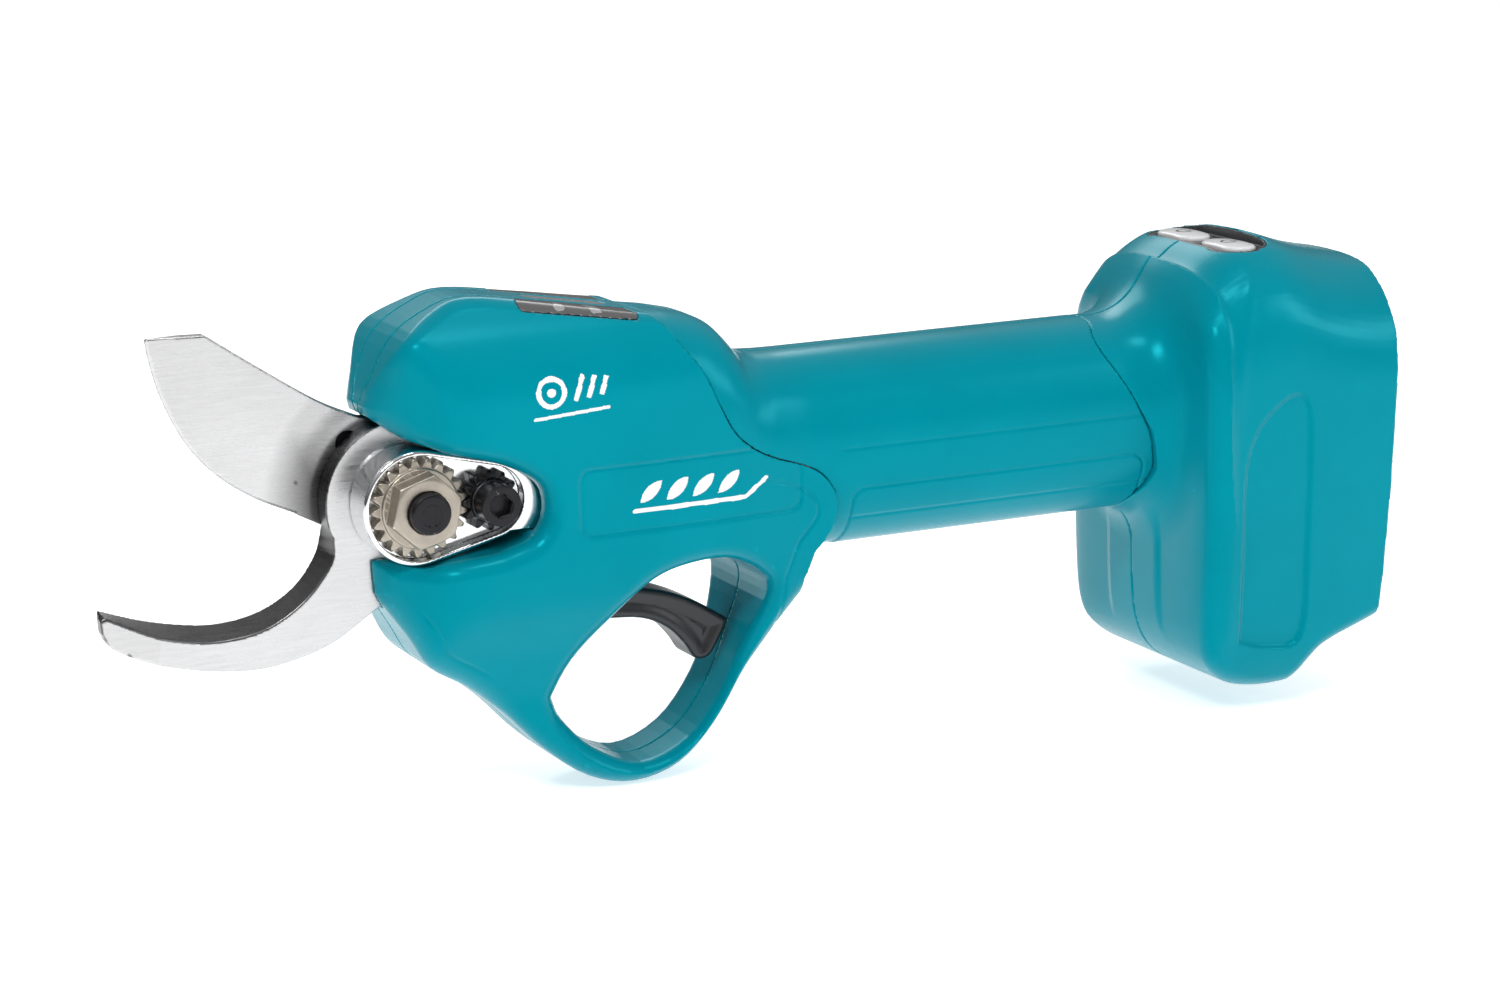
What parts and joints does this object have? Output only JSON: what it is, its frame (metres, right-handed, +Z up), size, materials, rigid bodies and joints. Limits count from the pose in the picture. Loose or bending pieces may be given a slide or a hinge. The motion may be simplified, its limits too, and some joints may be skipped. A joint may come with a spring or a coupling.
{
  "type": "battery electric pruner",
  "caption": "Hand-held battery electric pruner with a hooked counter blade, a curved moving blade, a finger guard with trigger, and a rear foot that takes a slide-on battery.",
  "frame": {"origin": "middle of the bounding box in X and Y, on the plane of the lowest point", "axes": "+X from the blades to the battery foot, +Z up, -Y the tool's left side with the adjusting nut"},
  "size_m": [0.3392, 0.076, 0.1258],
  "materials": {
    "teal_plastic": "satin moulded",
    "polished_aluminium": "polished",
    "blade_steel": "ground",
    "bright_steel": "machined",
    "bronze": "sintered",
    "black_steel": "black oxide",
    "laminations": "stacked sheets",
    "copper": "bare",
    "black_plastic": "satin moulded",
    "circuit_board": "solder mask",
    "grey_plastic": "satin moulded",
    "smoked_lens": "smooth",
    "white_plastic": "smooth",
    "lead_insulation": "matte"
  },
  "bodies": {
    "main_body": {"head_left_cover": "teal_plastic", "head_right_cover": "teal_plastic", "head_band": "teal_plastic", "handle_left_shell": "teal_plastic", "handle_right_shell": "teal_plastic", "foot_left_shell": "teal_plastic", "foot_right_shell": "teal_plastic", "gear_case": "polished_aluminium", "counter_blade": "blade_steel", "counter_blade_pins": "bright_steel", "pivot_bolt": "black_steel", "adjusting_nut": "bronze", "lock_gear": "black_steel", "lock_bolt": "black_steel", "thrust_washer": "bronze", "pinion_bearings": "bright_steel", "ring_gear": "bright_steel", "motor_flange": "polished_aluminium", "motor_front_bearing": "bright_steel", "motor_rear_bearing": "bright_steel", "stator_core": "laminations", "stator_windings": "copper", "sensor_board": "circuit_board", "motor_end_cap": "black_plastic", "trigger_pin": "bright_steel", "trigger_spring": "bright_steel", "trigger_board": "circuit_board", "indicator_lens": "smoked_lens", "top_lens": "smoked_lens", "indicator_board": "circuit_board", "controller_board": "circuit_board", "controller_tray": "grey_plastic", "motor_leads": "lead_insulation", "battery_leads": "lead_insulation", "terminal_block": "black_plastic", "terminal_contacts": "copper", "button_panel": "grey_plastic", "button_board": "circuit_board", "housing_screws": "black_steel"},
    "blade": {"upper_blade": "blade_steel", "blade_bush": "bronze", "blade_sector_gear": "bright_steel", "sector_pins": "bright_steel"},
    "output_shaft": {"bevel_pinion": "bright_steel", "planet_carrier": "bright_steel", "planet_pins": "bright_steel"},
    "planet_1": {"planet_gear_1": "bright_steel"},
    "planet_2": {"planet_gear_2": "bright_steel"},
    "planet_3": {"planet_gear_3": "bright_steel"},
    "rotor": {"motor_shaft": "bright_steel", "sun_gear": "bright_steel", "rotor_core": "bright_steel", "rotor_magnets": "black_steel", "motor_fan": "black_plastic"},
    "trigger": {"trigger": "black_plastic", "trigger_magnet": "black_plastic"},
    "mode_button": {"mode_button": "white_plastic"},
    "power_button": {"power_button": "white_plastic"}
  },
  "joints": [
    {"name": "blade_pivot", "type": "hinge", "parent": "main_body", "child": "blade", "pos_m": [-0.094, 0, 0.0775], "axis": [0, -1, 0], "range_deg": [0, 50]},
    {"name": "pinion_spin", "type": "hinge", "parent": "main_body", "child": "output_shaft", "pos_m": [-0.05, 0, 0.0775], "axis": [1, 0, 0], "range_deg": [-4, 204]},
    {"name": "rotor_spin", "type": "hinge", "parent": "main_body", "child": "rotor", "pos_m": [0, 0, 0.0775], "axis": [1, 0, 0], "range_deg": [-20, 1020]},
    {"name": "planet_1_spin", "type": "hinge", "parent": "output_shaft", "child": "planet_1", "pos_m": [-0.04, 0.0105, 0.0775], "axis": [1, 0, 0], "range_deg": [-545, 12]},
    {"name": "planet_2_spin", "type": "hinge", "parent": "output_shaft", "child": "planet_2", "pos_m": [-0.04, -0.00525, 0.08659], "axis": [1, 0, 0], "range_deg": [-545, 12]},
    {"name": "planet_3_spin", "type": "hinge", "parent": "output_shaft", "child": "planet_3", "pos_m": [-0.04, -0.00525, 0.06841], "axis": [1, 0, 0], "range_deg": [-545, 12]},
    {"name": "trigger_pull", "type": "hinge", "parent": "main_body", "child": "trigger", "pos_m": [-0.053, 0, 0.0475], "axis": [0, -1, 0], "range_deg": [0, 11], "stiffness_Nm_per_rad": 0.4, "springref_deg": -11.46, "deforming": ["trigger_spring"]},
    {"name": "mode_press", "type": "slide", "parent": "main_body", "child": "mode_button", "axis": [0, 0, -1], "range_m": [0, 0.0008], "stiffness_N_per_m": 900, "springref_m": -0.0006},
    {"name": "power_press", "type": "slide", "parent": "main_body", "child": "power_button", "axis": [0, 0, -1], "range_m": [0, 0.0008], "stiffness_N_per_m": 900, "springref_m": -0.0006}
  ],
  "couplings": [
    {"joint": "pinion_spin", "follows": "blade_pivot", "ratio": 4},
    {"joint": "rotor_spin", "follows": "blade_pivot", "ratio": 20},
    {"joint": "planet_1_spin", "follows": "blade_pivot", "ratio": -10.667},
    {"joint": "planet_2_spin", "follows": "blade_pivot", "ratio": -10.667},
    {"joint": "planet_3_spin", "follows": "blade_pivot", "ratio": -10.667}
  ]
}
